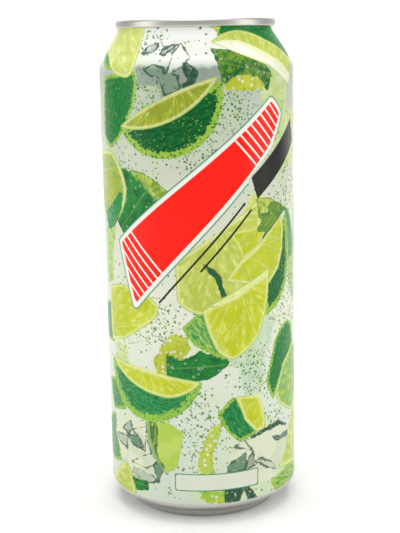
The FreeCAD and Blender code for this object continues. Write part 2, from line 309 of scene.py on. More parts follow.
class Sheet:
    """One sheet of the print: for every point of the wall, the depth inside the sheet's nearest shape,
    the place in that shape's own axes, its tone, shade, kind and width of rim."""

    def __init__(self, across, up):
        self.across, self.up = across, up
        self.depth = np.full(len(across), FAR_OUTSIDE)
        self.place = np.zeros((len(across), 2))
        self.tone = np.zeros((len(across), 4))
        self.shade = np.zeros((len(across), 4))

    def add(self, corners, tone, shade, kind=0.0, root=None, facing=0.0, rim=1.1, reach=4.0, over=False):
        """Adds a shape. root is where its own axes start, and facing the way its first axis points, in
        degrees. rim is how wide its pith or pale edge is. reach is how far outside the shape its axes are
        still kept. Where shapes overlap the deeper one shows, and with over the one added now."""
        ring = outline(corners)
        low, high = ring.min(0), ring.max(0)
        middle = (low[0] + high[0]) / 2
        offset = (self.across - middle + PRINT_REPEAT / 2) % PRINT_REPEAT - PRINT_REPEAT / 2
        near = (np.abs(offset) < (high[0] - low[0]) / 2 + reach) & (self.up > low[1] - reach)
        near = np.flatnonzero(near & (self.up < high[1] + reach))
        across, up = middle + offset[near], self.up[near]
        depth = depth_inside(across, up, ring)
        wins = (depth > self.depth[near]) | (over & (depth > 0))
        near, across, up = near[wins], across[wins], up[wins]
        self.depth[near] = depth[wins]
        start = root or ring.mean(0)
        turn = math.radians(facing)
        x, y = across - start[0], up - start[1]
        self.place[near, 0] = x * math.cos(turn) + y * math.sin(turn)
        self.place[near, 1] = y * math.cos(turn) - x * math.sin(turn)
        self.tone[near] = (*tone[:3], kind)
        self.shade[near] = (*shade[:3], rim)

    def store(self, mesh, name, spare):
        """Writes the sheet to the mesh's attributes, with zeros for its spare last points."""
        field = np.column_stack([self.depth, self.place])
        for suffix, kind, slot, values in (
            ("field", "FLOAT_VECTOR", "vector", field),
            ("tone", "FLOAT_COLOR", "color", self.tone),
            ("shade", "FLOAT_COLOR", "color", self.shade),
        ):
            padded = np.vstack([values, np.zeros((spare, values.shape[1]))])
            attribute = mesh.attributes.new(f"{name}_{suffix}", kind, "POINT")
            attribute.data.foreach_set(slot, padded.astype(np.float32).ravel())


PULP_KIND, PEEL_KIND, LEAF_KIND, ICE_KIND, SPLASH_KIND = 0.0, 1.0, 2.0, 3.0, 4.0


def lay_washes(sheet):
    """Soft patches of colour that lie under everything else."""
    sheet.add([(-20.8, 153.6), (-21.6, 147), (-15, 147.4), (-10.6, 143.6), (-4.4, 145), (9, 147),
              (9, 153.4)], WATER, ICE_GREY)
    sheet.add([(19, 149), (22, 144), (24, 134), (29, 124), (35, 130), (37, 148), (29, 153)], WASH_GREEN,
              WASH_PALE)
    sheet.add([(31, 138), (32, 118), (42, 120.5, 0.1), (49, 124, 0.2), (46, 137, 0.15)], WASH_PALE,
              WASH_GREEN)
    sheet.add([(-37, 61), (-36, 53), (-27, 52), (-29, 61)], WASH_GREEN, WASH_PALE)
    sheet.add([(-5, 5), (52, 5), (52, 15), (-5, 14)], GROUND_LOW, WASH_PALE)
    sheet.add([(-43, 99), (-42, 80, 0.1), (-36, 82), (-36, 92), (-32, 101)], WASH_GREEN, RIM)
    sheet.add([(-50, 124, 0.08), (-51, 96, 0.08), (-48, 68, 0.3), (-43, 66), (-44, 96), (-42, 120, 0.3)],
              WASH_PALE, GROUND)
    sheet.add([(10, 98), (16, 92), (22, 90), (23, 112), (18, 112)], FLESH_PALE, FLESH)
    sheet.add([(36, 90), (45, 88), (46, 71), (41, 73), (37, 81)], WASH_GREEN, FLESH_COOL)
    sheet.add([(4, 60), (12, 54), (14, 44.5, 0.2), (21, 44.5, 0.1), (23, 56), (30, 70), (24, 72)],
              WASH_MINT, GROUND_LOW)


def lay_back(sheet):
    """The lowest fruit, ice and leaves."""
    ice, peel, leaf, pulp, splash = ICE_KIND, PEEL_KIND, LEAF_KIND, PULP_KIND, SPLASH_KIND
    sheet.add([(-40, 28), (-34.5, 18), (-28, 16), (-26, 13.5), (-18, 13.5), (-14, 18.5), (-19, 24),
              (-20.5, 34.5), (-28, 35.8)], ICE, ICE_SHADE, ice)
    sheet.add([(8, 19), (8, 12), (27, 12.5), (37, 23), (35, 30, 0.15), (21, 32), (10, 27)], ICE,
              ICE_SHADE, ice)
    # splashes of juice
    sheet.add([(-16.8, 56), (-15, 51.5), (-12, 51), (-11.5, 59.5), (-6.5, 57.5), (-3.6, 62), (-5, 65.8),
              (-9.5, 67), (-14.4, 62)], BLOTCH, FLESH_OLIVE, splash)
    sheet.add([(-2, 18), (4, 18), (2.8, 25), (5, 30), (6.6, 36), (3, 34.8), (0.8, 31.5), (-1.6, 24)],
              BLOTCH, LEAF_PALE, splash)
    sheet.add([(-1.6, 12.4), (-1, 9.6), (3, 7.4), (8, 7), (7, 12.4)], BLOTCH, RIM, splash)
    sheet.add([(8.4, 147.4), (9.5, 145.4), (18, 145.2), (24.5, 146), (22, 150), (12, 150)], BLOTCH,
              FLESH_OLIVE, splash)
    sheet.add([(2, 167.4), (5.4, 165.4), (9.2, 163.8), (13, 166), (12, 169), (2, 169)], BLOTCH,
              LEAF_OLIVE, pulp, root=(6, 150), facing=90)
    # peel behind the cut faces
    sheet.add([(-52, 160, 0.2), (-21.5, 152), (-30, 156)], PEEL_LIGHT, PEEL, peel, root=(-36, 154))
    sheet.add([(-38.5, 150, 0.06), (-40.5, 131, 0.1), (-35, 126.5, 0.1), (-29, 130.5, 0.05),
              (-22.5, 140, 0.15), (-21, 152)], PEEL, LEAF, peel, root=(-30, 140), facing=80)
    sheet.add([(-28.5, 133.7, 0.86), (7.9, 148.8)], PEEL_DEEP, PEEL, peel, root=(-8, 140), facing=22,
              rim=2.2)
    sheet.add([(8, 162.5, -0.1), (42, 154), (48, 156, 0.1), (36, 170), (12, 172)], PEEL, LEAF, peel,
              root=(28, 162), facing=-25, rim=0.6)
    sheet.add([(37.5, 88), (43.4, 88, 0.1), (42.2, 97, 0.1), (37.4, 105, 0.05), (32.6, 107), (35, 104.4),
              (36.6, 99), (37.5, 93)], PEEL_GREY, LEAF, peel, root=(39, 95), facing=110, rim=0.4)
    sheet.add([(23.4, 70.6, 0.05), (30, 73.8, 0.05), (34.6, 78.8, 0.1), (37.4, 90, 0.08), (35, 104.4),
              (30, 96), (22, 84)], PEEL, PEEL_DEEP, peel, root=(29, 82), facing=60, rim=1.9)
    sheet.add([(-6.5, 68.8), (-2.5, 63, 0.05), (9, 57.5), (3.5, 74), (0, 74.5)], PEEL_LIGHT, LEAF_PALE,
              peel, root=(0, 66), facing=-50)
    sheet.add([(-39.5, 54, 0.84), (0.2, 50.2)], PEEL_LIGHT, PEEL, peel, root=(-20, 45), facing=-6,
              rim=2.5)
    sheet.add([(23.6, 48, 0.1), (27, 40.5), (31, 47), (42, 58, 0.1), (40, 65, 0.2), (34, 66.4, 0.1),
              (28, 61.5)], PEEL, LEAF, peel, root=(31, 53), facing=55)
    sheet.add([(4.9, 39, 0.15), (12.5, 28.6), (20, 31), (12, 44), (10.2, 44.6, 0.05)], PEEL, PEEL_LIGHT,
              peel, root=(12, 37), facing=-55)
    sheet.add([(25.2, 11.8, 0.15), (30, 6), (44, 5.5, 0.2), (47.5, 11, 0.2), (34, 14)], LEAF_PALE, LEAF,
              peel, root=(36, 10))
    sheet.add([(-49, 29, 0.15), (-46, 16, 0.1), (-34.5, 17.5, 0.1), (-38, 27), (-38, 34, 0.2)], PEEL_GREY,
              LEAF, peel, root=(-42, 25), facing=70)
    sheet.add([(-43, 46, 0.15), (-40, 35.5, 0.05), (-30, 37.5), (-37, 47, 0.1)], LEAF, PEEL_GREY, peel,
              root=(-37, 41))
    sheet.add([(-49.5, 70, 0.15), (-46, 60, 0.1), (-37, 60), (-38, 74, 0.2)], PEEL_GREY, LEAF, peel,
              root=(-42, 66))
    sheet.add([(-28.5, 14.2), (-26, 9.2), (-20, 10.5, 0.1), (-20.5, 14)], LEAF, LEAF_DARK, leaf,
              root=(-24, 12))
    sheet.add([(46, 109, 0.1), (43.6, 96, 0.15), (47, 83, 0.2), (51, 88, 0.1), (50.4, 104, 0.2)], PEEL,
              LEAF, peel, root=(47, 96), facing=85, rim=1.6)
    # the large pale slice under the ribbon
    sheet.add([(-7.8, 78, 0.15), (-3.8, 74.3, 0.1), (2, 73), (12, 70), (24, 84), (20.8, 110), (-8.2, 91)],
              FLESH_SOFT, FLESH_PALE, pulp, root=(4, 104), facing=-100)
    sheet.add([(9.4, 100), (12.4, 95.6), (14.4, 90.6), (22, 95), (24, 100), (20, 101, 0.03)], FLESH,
              FLESH_SOFT, pulp, root=(22, 104), facing=200, rim=0.9, over=True)
    # leaves
    sheet.add([(-32, 103), (-28, 98.2), (-14, 98), (-12, 112.5, 0.1), (-21, 118.3, 0.05), (-28.4, 120.6)],
              LEAF, LEAF_DARK, leaf, root=(-29, 101), facing=48)
    sheet.add([(-25, 120.4), (-20, 113.4), (-15.4, 108.6), (-11.8, 105), (-8, 111.6, 0.1), (-19, 119.6)],
              LEAF_PALE, LEAF_OLIVE, leaf, root=(-22, 104), facing=48)
    sheet.add([(6.5, 154.8), (8.2, 148.6, 0.15), (10, 146.5), (13, 150, -0.15), (20, 149),
              (25.2, 144.6, 0.1), (27, 150.5, 0.1), (20, 157, 0.05), (5, 158.5)], LEAF_OLIVE, LEAF_DARK,
              leaf, root=(16, 152.5), facing=-12)
    sheet.add([(-12.3, 60, 0.05), (-12.6, 52.2, 0.1), (-8, 50), (2, 51.2, 0.12), (9.8, 57),
              (-0.5, 60.9, -0.08), (-6.5, 58)], LEAF, LEAF_DARK, leaf, root=(-1, 55.5), facing=3)
    # pale pieces low down
    sheet.add([(-19.8, 35, 0.1), (-17, 23, 0.1), (-12.3, 17.9, 0.05), (-8.8, 21), (-6.4, 32.6),
              (-12, 36)], FLESH_GREEN, FLESH_PALE, ice)
    sheet.add([(-48, 7, 0.1), (-40, 5), (-28, 6.3, 0.1), (-26.2, 9), (-30.6, 20), (-42, 10)], FLESH_SOFT,
              FLESH_PALE, pulp, root=(-46, 8), facing=10)
    sheet.add([(29.8, 15), (44, 13.5, 0.1), (50, 24, 0.3), (45, 37), (40, 33), (34, 22)], FLESH_PALE,
              FLESH_GREEN, pulp, root=(50, 16), facing=150)


def lay_middle(sheet):
    """Cut faces that lie on their peel."""
    pulp, leaf = PULP_KIND, LEAF_KIND
    sheet.add([(-52, 161, 0.02), (-38, 155.8), (-31, 151, 0.1), (-24.5, 149.8, 0.3), (-21.2, 154, 0.05),
              (-22.6, 168), (-52, 168)], FLESH_PALE, FLESH_LIGHT, pulp, root=(-44, 172), facing=-50)
    sheet.add([(-29, 134, 0.33), (7.4, 150.4, 0.07)], FLESH_DARK, FLESH_OLIVE, pulp, root=(-7, 151),
              facing=248)
    sheet.add([(5.4, 160.6), (26, 152.6), (38.6, 146.6), (43.5, 155, 0.1), (30, 161.2, 0.1),
              (17, 164.2, 0.15)], FLESH_SOFT, FLESH_PALE, pulp, root=(20, 146), facing=80, rim=0.6)
    sheet.add([(-49, 124, 0.15), (-46, 104, 0.05), (-39, 101), (-33, 101.4, 0.05), (-28, 107.6, 0.1),
              (-26.2, 113.4, 0.1), (-28.6, 120, 0.1), (-34, 125.8, 0.12)], FLESH_OLIVE, FLESH_COOL, pulp,
              root=(-46, 118), facing=-10, rim=1.6)
    sheet.add([(8, 84), (14, 90.6), (19, 93.6), (26, 99.8), (32, 104.2), (33.8, 98.6, 0.05), (33, 92),
              (30.4, 86), (25, 81.2), (18, 82)], FLESH, FLESH_SOFT, pulp, root=(14, 93), facing=-10)
    sheet.add([(-39, 60.5), (-30, 62.3, 0.05), (-22, 67, 0.05), (-15.5, 71.5, 0.15), (-14.4, 75.8, 0.1),
              (-20, 80), (-29, 81.6, 0.05), (-39, 79.5, 0.1)], FLESH, FLESH_WARM, pulp, root=(-40, 64),
              facing=35)
    sheet.add([(-39.6, 55, 0.14), (-12, 44.4, 0.2), (0, 50.4, 0.03)], FLESH, FLESH_WARM, pulp,
              root=(-19, 56), facing=-96)
    sheet.add([(28, 43, 0.1), (31, 38, 0.1), (40, 33.5, 0.1), (49, 40, 0.25), (48, 55, 0.15), (42, 58),
              (33, 52.5)], FLESH_COOL, FLESH_GREEN, pulp, root=(52, 48), facing=180)
    sheet.add([(14.4, 36), (18.8, 31), (22.3, 31.4), (23.2, 34.5), (20.6, 43.6, 0.1), (11, 44.4, -0.05)],
              FLESH, FLESH_WARM, pulp, root=(24, 46), facing=235)


def lay_ink(sheet):
    """Facets drawn with a brushed outline, some of them filled: ice, water and the darkest strokes."""
    clear, thin, full = 0.0, 0.55, 1.0
    for corners, tone, fill in (
        # water thrown up at the top
        ([(-17.6, 152.4), (-14.6, 150.2), (-10.6, 150), (-10.2, 152.6), (-14, 154)], ICE_LINE, thin),
        ([(-12, 149.6), (-10.4, 144.4), (-5.4, 146), (-6, 150.4), (-9, 151.6)], ICE_LINE, thin),
        ([(-5, 155), (-4, 151.4), (-2.2, 148.6), (0.4, 150.2), (0.2, 152), (-2.6, 154)], INK, full),
        ([(-4.4, 147.8), (-4, 145.4), (-1.6, 146.6), (-0.6, 148.6), (-2.4, 148.8)], INK, full),
        ([(-8.6, 154.4), (-9.6, 150.6), (-6, 152.4), (-2, 156), (-5.4, 160.6), (-8.2, 157)], WHITE, thin),
        ([(-20, 157.4), (-15, 157.6), (-13.8, 160, 0.2), (-17.6, 159.8)], ICE_GREY, thin),
        ([(-12.8, 157.2), (-11, 156.6), (-6.6, 160), (-11, 159.2)], ICE_LINE, thin),
        # left cube
        ([(-33, 30), (-29.6, 29), (-27.4, 31), (-27.8, 34.4)], ICE_LINE, thin),
        ([(-36, 24.6), (-30.4, 23.6), (-29.8, 28), (-37.4, 27.4)], ICE_SHADE, full),
        ([(-30, 28.8), (-27.4, 25.6), (-21.6, 24.6), (-23.6, 28.6)], ICE_LINE, full),
        ([(-27.4, 31), (-23.4, 28.8), (-21.4, 24), (-20.4, 33.4)], ICE, clear),
        ([(-27.6, 19.2), (-20.6, 18.4), (-16.4, 21.6), (-19, 24), (-24, 21.6)], ICE, clear),
        ([(-28, 15.2), (-20.6, 13.4), (-16.4, 14), (-18.4, 16.4), (-27, 17.4)], ICE_SHADE, full),
        ([(-18, 21), (-16.4, 14.2), (-13.6, 18.8), (-15.4, 20.6)], ICE_LINE, full),
        ([(-20.6, 35.4), (-20.2, 28), (-17.6, 22.4), (-12.6, 17.6), (-16.2, 24), (-18.6, 30),
          (-18.4, 35.4)], LEAF, thin),
        ([(-17.6, 35), (-18, 26.6), (-16.4, 27), (-16, 34.6)], LEAF_DARK, thin),
        # right cube
        ([(7.6, 20.4), (8.6, 18.2), (14.6, 18.4), (15.2, 25), (12.6, 23.4)], ICE_LINE, full),
        ([(14.8, 18.2), (18.4, 19.4), (17.6, 24), (15.6, 22.6)], INK, thin),
        ([(10.8, 27.2), (17.6, 24.6), (14.2, 28.8, 0.1)], ICE, clear),
        ([(14.8, 28.8), (22, 30.2), (30, 31), (35.4, 29.6), (30, 32.4), (22.6, 31.8)], INK, full),
        ([(26.2, 27.6), (29, 25.4), (35.8, 25.4), (36, 27.2), (30.4, 26.8)], ICE_LINE, full),
        ([(17.8, 21.2), (24, 17), (29, 15.2), (26, 18.6), (21.4, 21)], ICE_SHADE, thin),
        ([(7.2, 12.4), (7, 7), (12.4, 7), (13.2, 12.4)], INK, full),
        ([(13.8, 12.4), (16, 7), (19.6, 7), (15.6, 12.4)], INK, full),
        # stalk under the ribbon, and the dark line beside the splash of juice
        ([(0.8, 89.4), (5, 85), (7, 79), (8.4, 79.4), (6.4, 86), (1.6, 90.2)], LEAF_DARK, full),
    ):
        sheet.add(corners, tone, INK, fill, reach=1.5)


# Fields of drops: middle across, middle up, half width, half height.
SPECK_FIELDS = (
    (-22, 70, 18, 9), (-2, 132, 12, 12), (-33, 115, 16, 12), (22, 52, 13, 9), (-1, 32, 9, 14),
    (38, 74, 12, 14), (-16, 161, 7, 5), (12, 138, 10, 9), (-18, 143, 8, 8), (38, 112, 10, 10),
    (-8, 47, 10, 5), (27, 34, 6, 6),
)


def speck_cover(across, up):
    """How thickly drops lie at each place, 0 to 1: fields of drops fade out from their middles."""
    cover = np.zeros(len(across))
    for middle, height, half_width, half_height in SPECK_FIELDS:
        aside = (across - middle + PRINT_REPEAT / 2) % PRINT_REPEAT - PRINT_REPEAT / 2
        far = np.hypot(aside / half_width, (up - height) / half_height)
        cover = np.maximum(cover, 1 - soft_step(far, 0.5, 1.3))
    return cover


def lay_front(sheet):
    """The wedge that lies over the rest, its pith, two leaves, and the white of the cut faces."""
    sheet.add([(19.8, 110.6), (20.4, 104), (26, 103), (31, 105), (32, 107.4, 0.05), (25, 110.4)],
              FLESH_SOFT, LEAF_OLIVE, LEAF_KIND, root=(20, 100), facing=40)
    sheet.add([(19.6, 94.4), (26, 99.4), (32.2, 103.8), (35.4, 105.4), (31, 107.8), (26.4, 109),
              (24.6, 107), (25.4, 105), (20.8, 105.6), (22.6, 103), (20.2, 100.8), (20.8, 99.2),
              (23.8, 99)], LEAF_MOSS, LEAF_OLIVE, LEAF_KIND, root=(20, 98), facing=40, over=True)
    sheet.add([(-41.5, 104.6), (-39.8, 99.2), (-35.4, 99.6), (-30.4, 104.6, 0.05), (-28.4, 110.4, 0.2),
              (-29.8, 112.6), (-32.8, 110), (-37, 106.8)], LEAF, PEEL_LIGHT, LEAF_KIND, root=(-37, 99),
              facing=45)
    sheet.add([(6, 160.6), (14, 157.2), (26, 153, 0.02), (38.6, 146.6), (39.8, 149.4, 0.03),
              (28, 156.6, 0.05), (16, 161, 0.06)], CREAM, FLESH_LIGHT, ICE_KIND)
    sheet.add([(6.4, 160.6), (14, 157.4), (26, 153.2, 0.02), (38.4, 146.8, 0.03), (27, 154.9, 0.05),
              (16, 159.8, 0.06)], WHITE, CREAM, ICE_KIND, over=True)
    sheet.add([(0.4, 74.8, 0.08), (5, 61, 0.15), (10.5, 57.2, 0.12), (20.5, 64.5, 0.1), (24.8, 79, 0.03),
              (25.2, 86.8, -0.04)], FLESH, FLESH_WARM, PULP_KIND, root=(11.5, 84.5), facing=-88)
    sheet.add([(0.8, 75.2), (6, 75.8), (12, 77.6), (19, 81.6), (25.2, 84), (25.4, 87, 0.02)], FLESH_PALE,
              FLESH_LIGHT, PULP_KIND, root=(-8, 66), facing=45, over=True)


RIBBON_KIND, TAG_KIND, BOX_KIND, RULES_KIND = 0.0, 1.0, 2.0, 3.0
RULES_ROOT, RULES_FACING = (1.8, 91.4), 47.6
RIBBON_ROOT, RIBBON_FACING = (0.0, 108.0), 43.0


def lay_labels(sheet):
    """The red ribbon, the black tag and the pale box."""
    sheet.add([(-23.5, 75.6), (26, 127.5, 0.05), (31.2, 137, 0.1), (26.8, 141.4), (-29.6, 95.8)],
              RIBBON_RED, WHITE, RIBBON_KIND, root=RIBBON_ROOT, facing=RIBBON_FACING, reach=30.0)
    sheet.add([(20.4, 110.2), (43.2, 127.6), (40.2, 135.2), (18, 117.4)], TAG_BLACK, TAG_BLACK, TAG_KIND)
    sheet.add([(-9.8, 12.3), (19.4, 12.3), (19.4, 18.1), (-9.8, 18.1)], BOX_GREY, KEYLINE, BOX_KIND)
    sheet.add([(-17.6, 74.2), (-10.8, 70.6), (22, 106.6), (16.9, 112)], RIBBON_RED, WHITE, RULES_KIND,
              root=RULES_ROOT, facing=RULES_FACING, reach=1.0)


# ---------------------------------------------------------------- materials


class Recipe:
    """Adds nodes to a tree. Every method returns the new node's output, ready for the next."""

    def __init__(self, tree):
        self.tree = tree

    def put(self, kind, inputs=(), **settings):
        """A node of that kind. inputs is a dict from socket name or number to a value or an output."""
        node = self.tree.nodes.new(kind)
        for name, value in settings.items():
            setattr(node, name, value)
        for socket, value in dict(inputs).items():
            if isinstance(value, bpy.types.NodeSocket):
                self.tree.links.new(value, node.inputs[socket])
            else:
                node.inputs[socket].default_value = value
        return node

    def calc(self, operation, *values, clamp=False):
        """The operation on one, two or three numbers."""
        inputs = dict(enumerate(values))
        return self.put("ShaderNodeMath", inputs, operation=operation, use_clamp=clamp).outputs[0]

    def blend(self, share, under, over, how="MIX"):
        """The colour under where share is 0, and over laid on it where share is 1."""
        inputs = {0: share, 6: under, 7: over}
        return self.put("ShaderNodeMix", inputs, data_type="RGBA", blend_type=how).outputs[2]

    def above(self, value, edge, soft):
        """1 where value is above edge, 0 below it, with a soft border that wide to each side."""
        inputs = {"Value": value, "From Min": edge - soft, "From Max": edge + soft}
        return self.put("ShaderNodeMapRange", inputs, interpolation_type="SMOOTHSTEP").outputs[0]

    def below(self, value, edge, soft):
        """1 where value is below edge, 0 above it."""
        return self.calc("SUBTRACT", 1.0, self.above(value, edge, soft))

    def both(self, first, second):
        """The share that lies in both."""
        return self.calc("MULTIPLY", first, second)

    def noise(self, place, scale, detail=2.0, roughness=0.5):
        """Wandering value from 0 to 1, mostly near 0.5."""
        inputs = {"Vector": place, "Scale": scale, "Detail": detail, "Roughness": roughness}
        return self.put("ShaderNodeTexNoise", inputs).outputs[0]

    def cells(self, place, scale):
        """Scattered points: the distance to the nearest and that point's own random colour."""
        return self.put("ShaderNodeTexVoronoi", {"Vector": place, "Scale": scale}, feature="F1")

    def join(self, x, y, z=0.0):
        """One vector from three numbers."""
        return self.put("ShaderNodeCombineXYZ", {0: x, 1: y, 2: z}).outputs[0]

    def split(self, place):
        """A vector's three numbers."""
        return self.put("ShaderNodeSeparateXYZ", {0: place}).outputs

    def attribute(self, name):
        """The outputs of the mesh's attribute of that name: Color, Vector, Fac and Alpha."""
        return self.put("ShaderNodeAttribute", attribute_name=name).outputs

    def millimetres(self):
        """The point's place in millimetres."""
        place = self.put("ShaderNodeTexCoord").outputs["Object"]
        return self.put("ShaderNodeVectorMath", {0: place, "Scale": 1 / MM}, operation="SCALE").outputs[0]


def new_material(name):
    """A material, the recipe for its nodes, and its shader."""
    material = bpy.data.materials.new(name)
    material.use_nodes = True
    recipe = Recipe(material.node_tree)
    shader = next(n for n in material.node_tree.nodes if n.type == "BSDF_PRINCIPLED")
    return material, recipe, shader


def connect(recipe, shader, **links):
    """Links outputs to the shader's inputs, whose names are given with _ for a space."""
    for name, output in links.items():
        recipe.tree.links.new(output, shader.inputs[name.replace("_", " ")])


def pulp_colour(r, place, depth, x, y, tone, shade, rim):
    """Cut flesh: juice sacs drawn out along rays from the shape's root, each with its own tone and a pale
    wall, faint membranes, pith, and a thin line of skin away from the root."""
    angle = r.calc("ARCTAN2", y, x)
    radius = r.calc("SQRT", r.calc("ADD", r.calc("MULTIPLY", x, x), r.calc("MULTIPLY", y, y)))
    drift = r.noise(place, 0.5, 2.0)
    turned_place = r.join(r.calc("ADD", r.calc("MULTIPLY", angle, 15.0), r.calc("MULTIPLY", drift, 1.6)),
                          r.calc("MULTIPLY", radius, 0.34))
    sacs = r.cells(turned_place, 1.0)
    lot = r.split(sacs.outputs["Color"])[0]
    fine = r.noise(place, 1.2, 3.0, 0.65)
    mottle = r.calc("ADD", r.calc("MULTIPLY", lot, 0.55), r.calc("MULTIPLY", fine, 0.5))
    colour = r.blend(r.above(mottle, 0.6, 0.2), tone, shade)
    dull = r.above(r.noise(place, 0.22, 2.0), 0.5, 0.12)
    dark = r.blend(1.0, colour, (0.7, 0.78, 0.45, 1.0), "MULTIPLY")
    crease = r.both(r.above(sacs.outputs["Distance"], 0.5, 0.2), r.above(fine, 0.48, 0.08))
    shaded = r.calc("ADD", dull, crease, clamp=True)
    colour = r.blend(r.calc("MULTIPLY", shaded, 0.5), colour, dark)
    glints = r.both(r.below(sacs.outputs["Distance"], 0.26, 0.08), r.above(lot, 0.55, 0.1))
    colour = r.blend(r.calc("MULTIPLY", glints, 0.35), colour, PITH)
    fraction = r.calc("FRACT", r.calc("MULTIPLY", angle, 1.45))
    off_membrane = r.calc("MULTIPLY", r.calc("ABSOLUTE", r.calc("SUBTRACT", fraction, 0.5)), radius)
    colour = r.blend(r.calc("MULTIPLY", r.below(off_membrane, 0.25, 0.2), 0.25), colour, PITH)
    wavy = r.calc("ADD", depth, r.calc("MULTIPLY", r.calc("SUBTRACT", fine, 0.5), 1.2))
    pith = r.below(r.calc("SUBTRACT", wavy, rim), 0.0, 0.35)
    colour = r.blend(r.calc("MULTIPLY", pith, 0.65), colour, PITH)
    skin = r.both(r.below(depth, 0.36, 0.14), r.above(radius, 8.0, 3.0))
    return r.blend(r.calc("MULTIPLY", skin, 0.6), colour, SKIN)


def peel_colour(r, place, depth, x, y, tone, shade, rim):
    """Peel: deep green streaked along the fruit, with pale pores and a ragged pale rim."""
    streaks = r.noise(r.join(r.calc("MULTIPLY", x, 0.35), r.calc("MULTIPLY", y, 1.1)), 1.0, 3.0, 0.6)
    colour = r.blend(r.above(streaks, 0.52, 0.14), tone, shade)
    pores = r.below(r.cells(place, 0.85).outputs["Distance"], 0.24, 0.08)
    gathered = r.above(r.noise(place, 0.2, 1.0), 0.47, 0.08)
    colour = r.blend(r.calc("MULTIPLY", r.both(pores, gathered), 0.55), colour, RIM)
    ragged = r.calc("MULTIPLY", r.calc("SUBTRACT", r.noise(place, 0.8, 2.0, 0.6), 0.5), 1.8)
    edge = r.below(r.calc("SUBTRACT", depth, r.calc("MULTIPLY", rim, r.calc("ADD", ragged, 1.0))), 0.0, 0.2)
    colour = r.blend(edge, colour, RIM)
    flecks = r.both(r.above(r.noise(place, 1.3, 1.0), 0.6, 0.04), edge)
    return r.blend(r.calc("MULTIPLY", flecks, 0.8), colour, tone)


def leaf_colour(r, place, depth, x, y, tone, shade, rim):
    """Leaf: a midrib along the shape's own axis, slanting side veins, blotches and a dark edge."""
    blotches = r.noise(place, 0.35, 3.0, 0.65)
    colour = r.blend(r.above(blotches, 0.52, 0.12), tone, shade)
    lean = r.calc("SUBTRACT", x, r.calc("MULTIPLY", r.calc("ABSOLUTE", y), 0.7))
    veins = r.calc("ABSOLUTE", r.calc("SUBTRACT", r.calc("FRACT", r.calc("MULTIPLY", lean, 0.3)), 0.5))
    colour = r.blend(r.calc("MULTIPLY", r.below(veins, 0.07, 0.05), 0.7), colour, shade)
    colour = r.blend(r.calc("MULTIPLY", r.below(r.calc("ABSOLUTE", y), 0.22, 0.1), 0.2), colour, LEAF_PALE)
    drops = r.below(r.cells(place, 0.42).outputs["Distance"], 0.2, 0.05)
    colour = r.blend(r.calc("MULTIPLY", drops, 0.25), colour, GROUND)
    return r.blend(r.calc("MULTIPLY", r.below(depth, 0.35, 0.15), 0.6), colour, LEAF_DARK)


def ice_colour(r, place, depth, x, y, tone, shade, rim):
    """Drawn ice: a pale fill, a little greyer in wandering patches."""
    return r.blend(r.calc("MULTIPLY", r.above(r.noise(place, 0.12, 2.0), 0.55, 0.06), 0.35), tone, shade)


def splash_colour(r, place, depth, x, y, tone, shade, rim):
    """Splashed juice: two tones, round white bubbles and darker drops along its edge."""
    colour = r.blend(r.above(r.noise(place, 0.3, 3.0, 0.6), 0.5, 0.12), tone, shade)
    bubbles = r.below(r.cells(place, 0.55).outputs["Distance"], 0.3, 0.06)
    colour = r.blend(r.calc("MULTIPLY", bubbles, 0.75), colour, GROUND)
    drops = r.both(r.below(r.cells(place, 0.85).outputs["Distance"], 0.3, 0.06), r.below(depth, 1.0, 0.3))
    return r.blend(r.calc("MULTIPLY", drops, 0.7), colour, LEAF_OLIVE)


def ink_over(r, place, colour):
    """Lays the facets on the colour: their fill, then a brushed line that follows each outline."""
    depth = r.split(r.attribute("ink_field")["Vector"])[0]
    tones = r.attribute("ink_tone")
    wobble = r.calc("MULTIPLY", r.calc("SUBTRACT", r.noise(place, 0.7, 2.0), 0.5), 1.1)
    depth = r.calc("ADD", depth, wobble)
    streaks = r.calc("MULTIPLY", r.above(r.noise(place, 0.5, 3.0, 0.65), 0.62, 0.05), 0.6)
    fill = r.both(r.above(depth, 0.0, 0.12), r.calc("SUBTRACT", 1.0, streaks))
    colour = r.blend(r.both(fill, tones["Alpha"]), colour, tones["Color"])
    weight = r.calc("SUBTRACT", r.calc("MULTIPLY", r.noise(place, 0.33, 1.0), 1.5), 0.5)
    line = r.above(r.calc("SUBTRACT", weight, r.calc("ABSOLUTE", depth)), 0.0, 0.08)
    return r.blend(r.calc("MULTIPLY", line, 0.85), colour, r.attribute("ink_shade")["Color"])


FRUIT_INPUTS = {"Field": "Vector", "Tone": "Color", "Kind": "Float", "Shade": "Color", "Rim": "Float",
                "Place": "Vector"}


